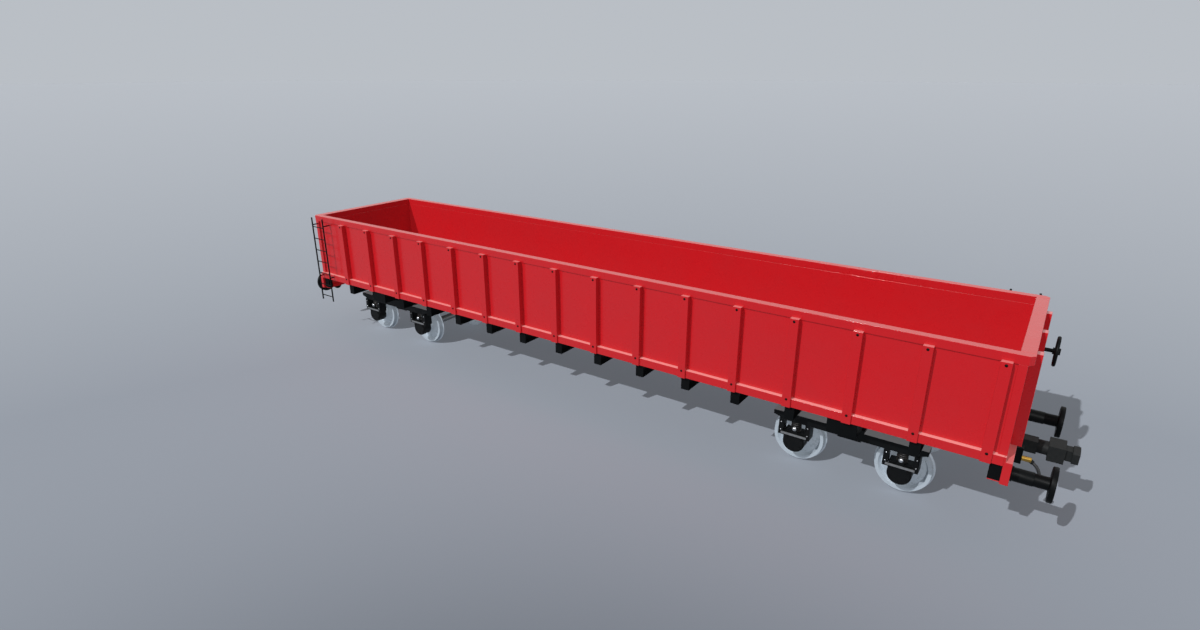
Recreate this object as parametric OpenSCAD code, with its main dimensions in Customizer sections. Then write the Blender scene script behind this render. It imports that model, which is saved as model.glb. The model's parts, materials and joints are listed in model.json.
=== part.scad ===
// Four-axle open freight wagon with flat-sided posts, on two swivelling bogies.
// X runs along the wagon, Y across it and Z up; the wheel flanges stand on Z = 0.
// The front end is +X, and the near side is -Y. Sides and ends are half-turn copies.

/* [Body] */
// Length over the end rails
body_l = 16540; // [16300:10:16800]
// Width over the side rails
body_w = 3200; // [3100:10:3300]
// Height of the underside of the side sills above the floor
sill_z = 1430; // [1415:5:1500]
// Height from the underside of the side sills to the top of the rails
side_h = 1707; // [1300:1:2200]
// Thickness of the side and end walls
wall_t = 135; // [125:1:140]
// Depth of the side walls' faces behind the rails
wall_recess = 30; // [20:1:34]
// Depth of the end walls' faces behind the end rails
end_recess = 65; // [55:1:70]
// Thickness of the deck
deck_t = 60; // [30:1:80]

/* [Top rails] */
// Height of the top rails
rail_h = 140; // [120:1:200]
// Width of the side rails
side_rail_w = 155; // [150:1:200]
// Width of the end rails
end_rail_w = 196; // [180:1:240]
// Chamfer on the outer corners of the rails
rail_chamfer = 62; // [40:1:140]

/* [Posts] */
// Number of posts on a side
post_count = 16; // [14:1:16]
// Width of a post
post_w = 150; // [100:1:180]
// How far the side posts stand out from the rails
post_proud = 85; // [70:1:100]
// Distance from the top of the rails down to the tops of the posts
post_drop = 117; // [90:1:135]
// Distance from one end rail's face to the first post of a side
first_post_gap = 242; // [190:1:300]
// Distance from the last post of a side to the other end rail's face, where the ladder stands
last_post_gap = 1148; // [1000:1:1200]
// Distance from post to post across an end
end_post_pitch = 1035; // [900:5:1150]
// How far the end posts stand out from the end rail
end_post_proud = 80; // [60:1:100]
// Height of the end posts' feet above the headstock
end_post_lift = 36; // [20:1:50]
// Distance of a corner strip's inner edge from the end rail's face
corner_leg = 185; // [182:1:188]

/* [Underframe] */
// Height of the side sills
sill_h = 152; // [140:1:200]
// How far the side sills stand out from the rails
sill_proud = 50; // [30:1:60]
// Width of the sills' flanges behind the rails' faces
sill_w = 165; // [165:1:200]
// Plate thickness of the sills
sill_t = 16; // [10:1:16]
// Depth of the cross-bearers below the side sills
bearer_drop = 265; // [240:1:276]
// Width of a cross-bearer
bearer_w = 165; // [120:1:180]
// Width of the beams over the bogies
bolster_beam_w = 490; // [440:1:540]
// Plate thickness of the cross-bearers
bearer_t = 18; // [10:1:26]
// Width over the centre sill
centre_sill_w = 460; // [400:1:520]
// Flange width of the centre sill's two channels
centre_flange_w = 120; // [80:1:160]
// Thickness of the headstock
headstock_t = 115; // [105:1:130]
// How far the headstock stands out from the end rail
headstock_proud = 25; // [15:1:30]
// How far the headstock reaches below the side sills
headstock_drop = 295; // [292:1:330]
// How far the headstock reaches above the underside of the side sills
headstock_rise = 75; // [30:1:80]
// Depth of the headstock's bottom flange and knee blocks behind it
headstock_flange_w = 165; // [140:1:200]
// Width of a knee block behind the headstock
knee_w = 120; // [80:1:160]

/* [Buffers] */
// Distance from buffer to buffer across an end
buffer_pitch = 2292; // [2000:2:2500]
// Height of the buffers above the floor
buffer_z = 1088; // [1070:1:1120]
// Distance from the headstock's face to the buffer plate's face
buffer_reach = 575; // [480:1:640]
// Diameter of a buffer plate
buffer_plate_d = 545; // [450:1:560]
// Thickness of a buffer plate at its rim
buffer_plate_t = 78; // [60:1:90]
// Diameter of a buffer casing
buffer_casing_d = 214; // [208:1:240]
// Length of a buffer casing
buffer_casing_l = 300; // [240:1:340]
// Diameter of a buffer plunger
buffer_plunger_d = 198; // [150:1:198]

/* [Couplers] */
// Height of the couplers above the floor
coupler_z = 1095; // [1085:1:1110]
// Length of a coupler housing in front of the headstock
coupler_housing_l = 270; // [240:1:300]
// Distance from the headstock's face to the tip of the knuckle
coupler_reach = 838; // [800:1:880]
// Width of the coupler head
coupler_head_w = 360; // [320:1:400]
// Height of the coupler head
coupler_head_h = 262; // [250:1:300]

/* [Bogies] */
// Distance of the bogie pivots from the end rails' faces
pivot_inset = 2387; // [2300:1:2450]
// Distance between the axles of a bogie
wheelbase = 1800; // [1700:5:1900]
// Distance of the side frames' middle from the wagon's middle
frame_y = 1055; // [1045:1:1065]
// Width of a side frame
frame_w = 220; // [200:1:225]
// Height of the underside of a side frame's beam above the floor
beam_z = 906; // [890:1:920]
// Height of a side frame's beam
beam_h = 155; // [140:1:170]
// Length of a side frame
frame_l = 2580; // [2560:10:2800]
// Width of an axle guard on the side frame
guard_w = 563; // [556:1:600]
// Drop of an axle guard below the beam
guard_drop = 299; // [285:1:310]
// Diameter of the pivot under the body
pivot_d = 340; // [280:1:380]

/* [Wheels] */
// Diameter of the wheel tread
tread_d = 920; // [880:2:940]
// Height of the wheel flange
flange_h = 30; // [26:1:34]
// Width of a wheel across its rim
wheel_w = 135; // [125:1:140]
// Distance between the inner faces of the wheels
back_to_back = 1440; // [1420:1:1450]
// Diameter of the axle between the wheels
axle_d = 160; // [150:1:176]
// Diameter of the axle journals
journal_d = 130; // [110:1:140]
// Diameter of an axle box and its cover
box_d = 390; // [360:1:396]

/* [Brakes and ladders] */
// Diameter of the brake pipe
pipe_d = 44; // [32:1:50]
// Height of the pipe ends and cocks above the floor
cock_z = 985; // [975:1:1000]
// Distance of the pipe from the wagon's middle
pipe_y = 350; // [300:1:400]
// Diameter of the handwheel
handwheel_d = 502; // [400:1:520]
// Distance of a ladder's middle from the end rail's face
ladder_inset = 376; // [365:1:385]
// Width between the middles of a ladder's stringers
ladder_w = 456; // [440:1:460]
// Distance of a ladder's stringers from the side rail's face
ladder_standoff = 160; // [130:1:200]
// Height of a ladder's foot above the floor
ladder_foot_z = 860; // [800:5:1000]
// Height from rung to rung
rung_pitch = 315; // [280:1:320]
// Number of rungs
rung_count = 7; // [6:1:7]

/* [Hidden] */
$fn = 48;
// Each rounded piece is built this much short of the piece around it
fit_gap = 0.4;
// Cuts run past the faces they open by this much
overrun = 10;
half_turn = 180;
quarter_turn = 90;

half_l = body_l / 2;
half_w = body_w / 2;
rail_top = sill_z + side_h;
rail_bottom = rail_top - rail_h;
sill_top = sill_z + sill_h;
deck_bottom = sill_top - deck_t;
wall_out_y = half_w - wall_recess;
wall_in_y = wall_out_y - wall_t;
wall_out_x = half_l - end_recess;
wall_in_x = wall_out_x - wall_t;
sill_in_x = wall_out_x - sill_w;
sill_out_y = half_w + sill_proud;
bearer_bottom = sill_z - bearer_drop;
headstock_x = half_l + headstock_proud;
headstock_back = headstock_x - headstock_t;
headstock_bottom = sill_z - headstock_drop;
headstock_top = sill_z + headstock_rise;
post_top = rail_top - post_drop;
post_face_x = half_l + end_post_proud;
post_pitch = (body_l - first_post_gap - last_post_gap - post_w) / (post_count - 1);
pivot_x = half_l - pivot_inset;
axle_z = tread_d / 2 + flange_h;
flange_r = tread_d / 2 + flange_h;
frame_in_y = frame_y - frame_w / 2;
frame_out_y = frame_y + frame_w / 2;
beam_top = beam_z + beam_h;
guard_bottom = beam_z - guard_drop;

// Underframe details
knee_count = 4;
pivot_base_l = 500;
pivot_base_t = 20;
pivot_bottom = 1040;

// Buffer details
buffer_foot_d = 236;
buffer_foot_t = 30;
buffer_bore_floor = 40;
buffer_rim_bevel = 10;

// Coupler details
shank_d = 150;
collar_d = 225;
housing_w = 210;
housing_lip_w = 360;
housing_lip_t = 40;
housing_lip_rise = 130;
head_back = 418;
head_front = 648;
knuckle_w = 280;
knuckle_h = 226;
knuckle_t = 95;
knuckle_cut = 40;
knuckle_neck_w = 200;
knuckle_neck_h = 180;

// Bogie details
transom_w = 400;
transom_bottom = 760;
transom_top = 1000;
bowl_wall = 60;
bowl_top = 1075;
nest_w = 560;
nest_top = 1114;
side_bearer_d = 150;
side_bearer_top = 1145;
beam_end_rise = 70;
beam_end_l = 240;
guard_leg = 74;
guard_apron_t = 20;
window_w = 388;
window_h = 234;
box_block_w = 380;
box_block_d = 215;
box_seat_rise = 6;
box_seat_z = axle_z + box_d / 2 + box_seat_rise;
box_in_y = 910;
box_cover_t = 22;
box_out_y = 1120;
journal_end_y = 1105;
journal_floor_y = 1110;
spring_r = 78;
spring_wire_d = 30;
spring_turns = 5;
spring_steps = 12;
spring_sides = 6;
spring_y = 1030;

// Wheel details
hub_d = 260;
hub_w = 150;
rim_t = 62;
web_t = 34;
web_dish = 22;
flange_t = 32;
tread_taper = 5;

// Air pipe, cock and hose details
pipe_drop_l = 200;
pipe_drop_inset = 460;
pipe_drop_x = half_l - pipe_drop_inset;
pipe_reach = 100;
pipe_end_x = headstock_x + pipe_reach;
pipe_elbow_d = 64;
pipe_clip_w = 36;
pipe_bracket_w = 110;
pipe_bracket_drop = 85;
pipe_bracket_lap = 40;
cock_l = 133;
cock_d = 84;
cock_spigot_d = 60;
cock_spigot_l = 60;
cock_spigot_set = 30;
hose_d = 50;
hose_sides = 10;
coupling_l = 85;
coupling_d = 64;
coupling_jaw_w = 36;
coupling_jaw_l = 110;

// Route of the brake hose along X and Z: out of the cock's sloping spigot, round a bend and down
hose_dip = 35;
hose_x = pipe_end_x + cock_l - cock_spigot_set + cock_spigot_l * cos(hose_dip);
hose_z = cock_z - cock_spigot_l * sin(hose_dip);
hose_lead = 10;
hose_bend_r = 300;
hose_bend_steps = 8;
hose_end_z = 660;
bend_x = hose_x + hose_lead * cos(hose_dip);
bend_z = hose_z - hose_lead * sin(hose_dip);
function hose_angle(i) = hose_dip + (quarter_turn - hose_dip) * i / hose_bend_steps;
hose_route = concat(
    [[hose_x, hose_z]],
    [for (i = [0 : hose_bend_steps])
        [bend_x + hose_bend_r * (sin(hose_angle(i)) - sin(hose_dip)),
            bend_z - hose_bend_r * (cos(hose_dip) - cos(hose_angle(i)))]],
    [[bend_x + hose_bend_r * (1 - sin(hose_dip)), hose_end_z]]
);

// Handbrake details
handwheel_reach = 315;
handwheel_x = wall_out_x + handwheel_reach;
handwheel_y = 600;
handwheel_z = 2525;
handwheel_rim_d = 55;
handwheel_hub_d = 110;
handwheel_hub_l = 110;
handwheel_spokes = 5;
handwheel_spoke_d = 30;
handbrake_shaft_d = 52;

// Ladder details
stringer_d = 36;
rung_d = 24;
ladder_top_gap = 17;
bracket_d = 30;
first_rung = 130;
bracket_drop = 70;
foot_bracket_rise = 90;

// Sides and ends: -1 is the near side or the rear end, 1 the far side or the front end
module at_side(side) {
    rotate([0, 0, side > 0 ? half_turn : 0]) children();
}

module at_end(end) {
    rotate([0, 0, end > 0 ? 0 : half_turn]) children();
}

module at_bogie(end) {
    translate([end * pivot_x, 0, 0]) at_end(end) children();
}

// Four-fold copies about the middle of a bogie
module at_corners() {
    for (sx = [0, 1], sy = [0, 1])
        mirror([sx, 0, 0]) mirror([0, sy, 0]) children();
}

// Box between two corners
module block(low, high) {
    translate(low) cube(high - low);
}

// Round bar between two points
module bar(from, to, d) {
    run = to - from;
    reach = norm(run);
    translate(from)
        rotate([0, acos(run[2] / reach), atan2(run[1], run[0])])
            cylinder(d = d, h = reach);
}

// Tube swept along points, with its rings set square to the path about a side vector
function unit(v) = v / norm(v);
function path_dir(path, i) =
    unit(path[min(i + 1, len(path) - 1)] - path[max(i - 1, 0)]);
function ring(path, i, aside, r, sides) =
    let (n = unit(cross(path_dir(path, i), aside)), b = cross(path_dir(path, i), n))
    [for (k = [0 : sides - 1]) path[i] + r * (cos(k * 360 / sides) * n + sin(k * 360 / sides) * b)];

module tube(path, aside, d, sides) {
    rings = len(path);
    points = [for (i = [0 : rings - 1]) each ring(path, i, aside, d / 2, sides)];
    skin = [for (i = [0 : rings - 2], k = [0 : sides - 1], half = [0, 1])
        let (a = i * sides + k, b = i * sides + (k + 1) % sides)
        half == 0 ? [a, b, b + sides] : [a, b + sides, a + sides]];
    first_cap = [for (k = [sides - 1 : -1 : 0]) k];
    last_cap = [for (k = [0 : sides - 1]) (rings - 1) * sides + k];
    polyhedron(points, concat([first_cap], skin, [last_cap]));
}

// Middle of a post on the near side, counted from the front end
function post_x(i) = half_l - first_post_gap - post_w / 2 - i * post_pitch;
// Bearers stand close to the posts, evenly about the wagon's middle
function bearer_x(i) = (post_count / 2 - i) * post_pitch;
function clears_bolster(x) =
    abs(abs(x) - pivot_x) >= (bearer_w + bolster_beam_w) / 2;

// Body

module deck() {
    color("firebrick")
        block([-sill_in_x, -half_w + sill_w, deck_bottom],
            [sill_in_x, half_w - sill_w, sill_top]);
}

module side_wall(side) {
    color("firebrick") at_side(side)
        block([-wall_out_x, -wall_out_y, sill_top], [wall_out_x, -wall_in_y, rail_bottom]);
}

module end_wall(end) {
    color("firebrick") at_end(end)
        block([wall_in_x, -wall_in_y, sill_top], [wall_out_x, wall_in_y, rail_bottom]);
}

// Side rail with its outer corners cut off, running the whole length
module side_rail(side) {
    color("firebrick") at_side(side) translate([0, 0, rail_bottom])
        linear_extrude(rail_h)
            polygon([
                [-half_l + rail_chamfer, -half_w], [half_l - rail_chamfer, -half_w],
                [half_l, -half_w + rail_chamfer], [half_l, -half_w + side_rail_w],
                [-half_l, -half_w + side_rail_w], [-half_l, -half_w + rail_chamfer]
            ]);
}

module end_rail(end) {
    color("firebrick") at_end(end)
        block([half_l - end_rail_w, -half_w + side_rail_w, rail_bottom],
            [half_l, half_w - side_rail_w, rail_top]);
}

// Section of a side post: proud of rail and sill, with its foot and head notched over them
module side_post_section() {
    polygon([
        [sill_out_y, sill_z], [half_w + post_proud, sill_z], [half_w + post_proud, post_top],
        [half_w, post_top], [half_w, rail_bottom], [wall_out_y, rail_bottom],
        [wall_out_y, sill_top], [sill_out_y, sill_top]
    ]);
}

module side_posts(side) {
    color("firebrick") at_side(side)
        for (i = [0 : post_count - 1])
            translate([post_x(i) + post_w / 2, 0, 0])
                rotate([quarter_turn, 0, -quarter_turn])
                    linear_extrude(post_w) side_post_section();
}

// Section of an end post, with its head notched over the rail
module end_post_section() {
    foot = headstock_top + end_post_lift;
    polygon([
        [wall_out_x, foot], [post_face_x, foot], [post_face_x, post_top],
        [half_l, post_top], [half_l, rail_bottom], [wall_out_x, rail_bottom]
    ]);
}

// Posts of an end, and the strips that run up its corners flush with the side rails
module end_posts(end) {
    color("firebrick") at_end(end) {
        for (i = [-1 : 1])
            translate([0, i * end_post_pitch + post_w / 2, 0])
                rotate([quarter_turn, 0, 0])
                    linear_extrude(post_w) end_post_section();
        for (sy = [0, 1])
            mirror([0, sy, 0])
                block([half_l - corner_leg, -half_w, sill_top], [wall_out_x, -wall_out_y, rail_bottom]);
    }
}

// Underframe

// Channel with its web outside, from the web's face inward
module sill_section(w) {
    difference() {
        square([w, sill_h]);
        translate([sill_t, sill_t]) square([w, sill_h - 2 * sill_t]);
    }
}

module side_sill(side) {
    color("firebrick") at_side(side)
        translate([headstock_back, -sill_out_y, sill_z])
            rotate([quarter_turn, 0, -quarter_turn])
                mirror([1, 0, 0])
                    linear_extrude(2 * headstock_back) sill_section(sill_w + sill_proud);
}

// End sill, stepped headstock and bottom flange in one welding
module headstock(end) {
    color("firebrick") at_end(end) {
        translate([wall_out_x, half_w - sill_w, sill_z])
            rotate([quarter_turn, 0, 0])
                mirror([1, 0, 0])
                    linear_extrude(body_w - 2 * sill_w) sill_section(sill_w);
        block([headstock_back, -sill_out_y, headstock_bottom], [wall_out_x, sill_out_y, sill_top]);
        block([wall_out_x, -sill_out_y, headstock_bottom], [headstock_x, sill_out_y, headstock_top]);
        block([headstock_back - headstock_flange_w, -half_w, headstock_bottom],
            [headstock_back, half_w, headstock_bottom + sill_t]);
    }
}

module centre_sill() {
    color("dimgray") {
        for (sy = [0, 1])
            mirror([0, sy, 0]) difference() {
                block([-sill_in_x, centre_sill_w / 2 - centre_flange_w, bearer_bottom],
                    [sill_in_x, centre_sill_w / 2, deck_bottom]);
                block([-half_l, centre_sill_w / 2 - centre_flange_w - overrun, bearer_bottom + bearer_t],
                    [half_l, centre_sill_w / 2 - bearer_t, deck_bottom - bearer_t]);
            }
        for (end = [-1, 1])
            translate([end * pivot_x, 0, 0]) {
                block([-pivot_base_l / 2, -centre_sill_w / 2, bearer_bottom - pivot_base_t],
                    [pivot_base_l / 2, centre_sill_w / 2, bearer_bottom]);
                translate([0, 0, pivot_bottom])
                    cylinder(d = pivot_d, h = bearer_bottom - pivot_base_t - pivot_bottom);
            }
    }
}

// Outline of half a bearer, from the centre sill out under the side sill
module bearer_outline(inset) {
    inner = centre_sill_w / 2;
    step = half_w - sill_w;
    polygon([
        [inner, bearer_bottom + inset], [half_w - inset, bearer_bottom + inset],
        [half_w - inset, sill_z - inset], [step - inset, sill_z - inset],
        [step - inset, deck_bottom - inset], [inner, deck_bottom - inset]
    ]);
}

// Half a bearer of I section with a closed outer end
module half_bearer(w) {
    rotate([quarter_turn, 0, -quarter_turn]) {
        difference() {
            translate([0, 0, -w / 2]) linear_extrude(w) bearer_outline(0);
            for (face = [-w / 2 - overrun, bearer_t / 2])
                translate([0, 0, face])
                    linear_extrude(w / 2 + overrun - bearer_t / 2)
                        bearer_outline(bearer_t);
        }
        translate([0, 0, -w / 2])
            linear_extrude(w)
                translate([centre_sill_w / 2, bearer_bottom])
                    square([bearer_t, deck_bottom - bearer_bottom]);
    }
}

// Half a bolster beam: a plated box, open where it meets the centre sill
module half_bolster_beam() {
    hollow_w = bolster_beam_w - 2 * bearer_t;
    rotate([quarter_turn, 0, -quarter_turn]) difference() {
        translate([0, 0, -bolster_beam_w / 2]) linear_extrude(bolster_beam_w) bearer_outline(0);
        translate([0, 0, -hollow_w / 2]) linear_extrude(hollow_w) bearer_outline(bearer_t);
    }
}

// Bearers, bolster beams over the bogies and knee blocks behind the headstocks
module cross_bearers(side) {
    color("dimgray") at_side(side) {
        for (i = [1 : post_count - 1])
            if (clears_bolster(bearer_x(i)))
                translate([bearer_x(i), 0, 0]) half_bearer(bearer_w);
        for (end = [-1, 1])
            translate([end * pivot_x, 0, 0]) half_bolster_beam();
        for (end = [-1, 1], i = [0 : knee_count / 2 - 1])
            at_end(end)
                block([headstock_back - headstock_flange_w, knee_y(end, i), headstock_bottom + sill_t],
                    [headstock_back, knee_y(end, i) + knee_w, sill_z]);
    }
}

// Lower Y of a knee block on this side, at either end
function knee_y(end, i) =
    let (pitch = (body_w - knee_w) / (knee_count - 1))
    end > 0 ? -half_w + i * pitch : half_w - knee_w - i * pitch;

// Buffers and couplers

// Casing on its foot, and plunger with its plate
module buffer(end, side) {
    color("dimgray") at_end(end)
        translate([headstock_x, end * side * buffer_pitch / 2, buffer_z])
            rotate([0, quarter_turn, 0]) {
                buffer_casing();
                buffer_plunger();
            }
}

module buffer_casing() {
    difference() {
        union() {
            cylinder(d = buffer_foot_d, h = buffer_foot_t);
            cylinder(d = buffer_casing_d, h = buffer_casing_l);
        }
        translate([0, 0, buffer_bore_floor])
            cylinder(d = buffer_plunger_d + 2 * fit_gap, h = buffer_casing_l);
    }
}

module buffer_plunger() {
    plate_back = buffer_reach - buffer_plate_t;
    translate([0, 0, buffer_bore_floor + fit_gap])
        cylinder(d = buffer_plunger_d, h = plate_back - buffer_bore_floor - fit_gap);
    translate([0, 0, plate_back]) rotate_extrude() polygon([
        [0, 0], [buffer_plate_d / 2 - buffer_rim_bevel, 0],
        [buffer_plate_d / 2, buffer_rim_bevel],
        [buffer_plate_d / 2, buffer_plate_t - buffer_rim_bevel],
        [buffer_plate_d / 2 - buffer_rim_bevel, buffer_plate_t], [0, buffer_plate_t]
    ]);
}

module coupler_housing(end) {
    color("dimgray") at_end(end)
        translate([headstock_x, 0, coupler_z]) difference() {
            union() {
                block([0, -housing_w / 2, -housing_w / 2], [coupler_housing_l, housing_w / 2, housing_w / 2]);
                block([0, -housing_lip_w / 2, headstock_bottom - coupler_z],
                    [housing_lip_t, housing_lip_w / 2, housing_lip_rise]);
            }
            translate([housing_lip_t, 0, 0])
                rotate([0, quarter_turn, 0])
                    cylinder(d = shank_d + 2 * fit_gap, h = coupler_housing_l);
        }
}

// Knuckle plate seen from in front, with its corners cut
module knuckle_outline() {
    w = knuckle_w / 2;
    h = knuckle_h / 2;
    polygon([
        [h - knuckle_cut, -w], [h, -w + knuckle_cut], [h, w - knuckle_cut], [h - knuckle_cut, w],
        [-h + knuckle_cut, w], [-h, w - knuckle_cut], [-h, -w + knuckle_cut], [-h + knuckle_cut, -w]
    ]);
}

// Round shank with a collar, square head, and a knuckle plate on its neck
module coupler(end) {
    shank_start = housing_lip_t + fit_gap;
    color("dimgray") at_end(end) translate([headstock_x, 0, coupler_z]) {
        rotate([0, quarter_turn, 0]) {
            translate([0, 0, shank_start]) cylinder(d = shank_d, h = head_front - shank_start);
            translate([0, 0, coupler_housing_l]) cylinder(d = collar_d, h = head_front - coupler_housing_l);
        }
        block([head_back, -coupler_head_w / 2, -coupler_head_h / 2],
            [head_front, coupler_head_w / 2, coupler_head_h / 2]);
        block([head_front, -knuckle_neck_w / 2, -knuckle_neck_h / 2],
            [coupler_reach - knuckle_t, knuckle_neck_w / 2, knuckle_neck_h / 2]);
        translate([coupler_reach - knuckle_t, 0, 0])
            rotate([0, quarter_turn, 0]) linear_extrude(knuckle_t) knuckle_outline();
    }
}

// Air brake line

module brake_pipe() {
    run_z = bearer_bottom - pipe_elbow_d / 2;
    half_route = [
        [0, -pipe_y, run_z], [pipe_drop_x, -pipe_y, run_z],
        [pipe_drop_x + pipe_drop_l, -pipe_y, cock_z], [pipe_end_x, -pipe_y, cock_z]
    ];
    color("dimgray") {
        bar([0, pipe_y, run_z], [0, -pipe_y, run_z], pipe_d);
        for (end = [-1, 1])
            at_end(end) {
                block([headstock_x, -pipe_y - pipe_bracket_w / 2, cock_z - pipe_bracket_drop],
                    [pipe_end_x, -pipe_y + pipe_bracket_w / 2, headstock_bottom + pipe_bracket_lap]);
                for (i = [0 : len(half_route) - 2]) {
                    bar(half_route[i], half_route[i + 1], pipe_d);
                    translate(half_route[i]) cube(pipe_elbow_d, center = true);
                }
                for (i = [1 : 2 : post_count / 2])
                    if (clears_bolster(bearer_x(i)))
                        translate([bearer_x(i), -pipe_y, run_z])
                            block([-pipe_clip_w / 2, -pipe_clip_w / 2, 0],
                                [pipe_clip_w / 2, pipe_clip_w / 2, bearer_bottom - run_z]);
            }
    }
}

// Cock with a sloping spigot for the hose
module brake_cock(end) {
    color("goldenrod") at_end(end) translate([pipe_end_x, -pipe_y, cock_z])
        rotate([0, quarter_turn, 0]) {
            cylinder(d = cock_d, h = cock_l);
            translate([0, 0, cock_l - cock_spigot_set])
                rotate([0, hose_dip, 0]) cylinder(d = cock_spigot_d, h = cock_spigot_l);
        }
}

module brake_hose() {
    path = [for (p = hose_route) [p[0], -pipe_y, p[1]]];
    color("black") tube(path, [0, 1, 0], hose_d, hose_sides);
}

// Coupling head on the hose's lower end
module hose_coupling() {
    last = hose_route[len(hose_route) - 1];
    color("dimgray") translate([last[0], -pipe_y, last[1] - coupling_l]) {
        cylinder(d = coupling_d, h = coupling_l);
        block([-coupling_jaw_w / 2, -coupling_d / 2, 0],
            [coupling_jaw_l, coupling_d / 2, coupling_jaw_w]);
    }
}

// Handbrake wheel on a shaft that stands out from the front end wall between two posts
module handbrake_wheel() {
    rim_r = (handwheel_d - handwheel_rim_d) / 2;
    color("dimgray") translate([handwheel_x, handwheel_y, handwheel_z])
        rotate([0, quarter_turn, 0]) {
            rotate_extrude() translate([rim_r, 0]) circle(d = handwheel_rim_d);
            translate([0, 0, -handwheel_hub_l / 2]) cylinder(d = handwheel_hub_d, h = handwheel_hub_l);
            translate([0, 0, -handwheel_reach]) cylinder(d = handbrake_shaft_d, h = handwheel_reach);
            for (i = [0 : handwheel_spokes - 1])
                rotate([0, quarter_turn, i * 360 / handwheel_spokes])
                    cylinder(d = handwheel_spoke_d, h = rim_r);
        }
}

// Ladders

module ladder(side) {
    x = half_l - ladder_inset;
    y = half_w + ladder_standoff;
    top = rail_top - ladder_top_gap;
    color("dimgray") at_side(side)
        for (s = [-1, 1]) {
            bar([-x + s * ladder_w / 2, -y, ladder_foot_z], [-x + s * ladder_w / 2, -y, top], stringer_d);
            bracket(-x + s * ladder_w / 2, y, s < 0 ? half_w : wall_out_y, rail_bottom - bracket_drop);
            bracket(-x + s * ladder_w / 2, y, sill_out_y, sill_z + foot_bracket_rise);
            for (i = [0 : rung_count - 1])
                let (z = ladder_foot_z + first_rung + i * rung_pitch)
                bar([-x, -y, z], [-x + s * ladder_w / 2, -y, z], rung_d);
        }
}

// Bar from a stringer back to the face it is fixed to
module bracket(x, stringer_y, face_y, z) {
    bar([x, -stringer_y, z], [x, -face_y, z], bracket_d);
}

// Bogies

// Outline of a side frame: a beam with rising ends and an axle guard under each end
module frame_outline() {
    polygon([
        [-frame_l / 2, beam_z + beam_end_rise], [-frame_l / 2 + beam_end_l, beam_z],
        [frame_l / 2 - beam_end_l, beam_z], [frame_l / 2, beam_z + beam_end_rise],
        [frame_l / 2, beam_top], [-frame_l / 2, beam_top]
    ]);
    translate([-nest_w / 2, beam_z]) square([nest_w, nest_top - beam_z]);
    for (s = [-1, 1])
        translate([s * wheelbase / 2 - guard_w / 2, guard_bottom])
            square([guard_w, beam_z - guard_bottom + overrun]);
}

module side_frames(end) {
    slot_w = guard_w - 2 * guard_leg;
    color("dimgray") at_bogie(end)
        for (sy = [0, 1])
            mirror([0, sy, 0]) {
                difference() {
                    translate([0, -frame_in_y, 0])
                        rotate([quarter_turn, 0, 0])
                            linear_extrude(frame_w) frame_outline();
                    for (s = [-1, 1])
                        translate([s * wheelbase / 2, 0, 0]) {
                            block([-slot_w / 2, -frame_out_y + guard_apron_t, guard_bottom - overrun],
                                [slot_w / 2, -frame_in_y + overrun, beam_z]);
                            block([-window_w / 2, -frame_out_y - overrun, beam_z - window_h],
                                [window_w / 2, -frame_in_y, beam_z]);
                        }
                }
                translate([0, -frame_y, nest_top])
                    cylinder(d = side_bearer_d, h = side_bearer_top - nest_top);
            }
}

// Cross beam with the bowl that takes the body's pivot
module bogie_bolster(end) {
    color("dimgray") at_bogie(end) difference() {
        union() {
            block([-transom_w / 2, -frame_in_y, transom_bottom], [transom_w / 2, frame_in_y, transom_top]);
            translate([0, 0, transom_top])
                cylinder(d = pivot_d + 2 * bowl_wall, h = bowl_top - transom_top);
        }
        translate([0, 0, pivot_bottom])
            cylinder(d = pivot_d + 2 * fit_gap, h = bowl_top - pivot_bottom + overrun);
    }
}

module axle_boxes(end) {
    color("dimgray") at_bogie(end) at_corners()
        translate([wheelbase / 2, -box_in_y, axle_z]) difference() {
            union() {
                rotate([quarter_turn, 0, 0]) cylinder(d = box_d, h = box_out_y - box_in_y);
                block([-box_block_w / 2, -box_block_d, 0],
                    [box_block_w / 2, 0, box_seat_z - axle_z]);
                translate([0, -(box_out_y - box_in_y), 0])
                    rotate([quarter_turn, 0, 0]) cylinder(d = box_d - 2 * box_cover_t, h = box_cover_t);
            }
            translate([0, overrun, 0])
                rotate([quarter_turn, 0, 0])
                    cylinder(d = journal_d + 2 * fit_gap, h = journal_floor_y - box_in_y + overrun);
        }
}

// Coil spring between an axle box and the beam over it
module springs(end) {
    wire_rise = spring_wire_d / 2 * cos(half_turn / spring_sides);
    rise = beam_z - box_seat_z - 2 * wire_rise - 2 * fit_gap;
    steps = spring_turns * spring_steps;
    path = [for (i = [0 : steps])
        [spring_r * cos(i * 360 / spring_steps), spring_r * sin(i * 360 / spring_steps),
            wire_rise + fit_gap + rise * i / steps]];
    color("dimgray") at_bogie(end) at_corners()
        translate([wheelbase / 2, -spring_y, box_seat_z])
            tube(path, [0, 0, 1], spring_wire_d, spring_sides);
}

// Wheelsets, numbered from the front end
function axle_x(i) =
    let (end = i < 2 ? 1 : -1, lead = i % 2 == 0 ? 1 : -1)
    end * pivot_x + lead * wheelbase / 2;

module axle(i) {
    color("silver") translate([axle_x(i), 0, axle_z])
        rotate([quarter_turn, 0, 0]) {
            cylinder(d = axle_d, h = back_to_back + 2 * hub_w, center = true);
            cylinder(d = journal_d, h = 2 * journal_end_y, center = true);
        }
}

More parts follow.
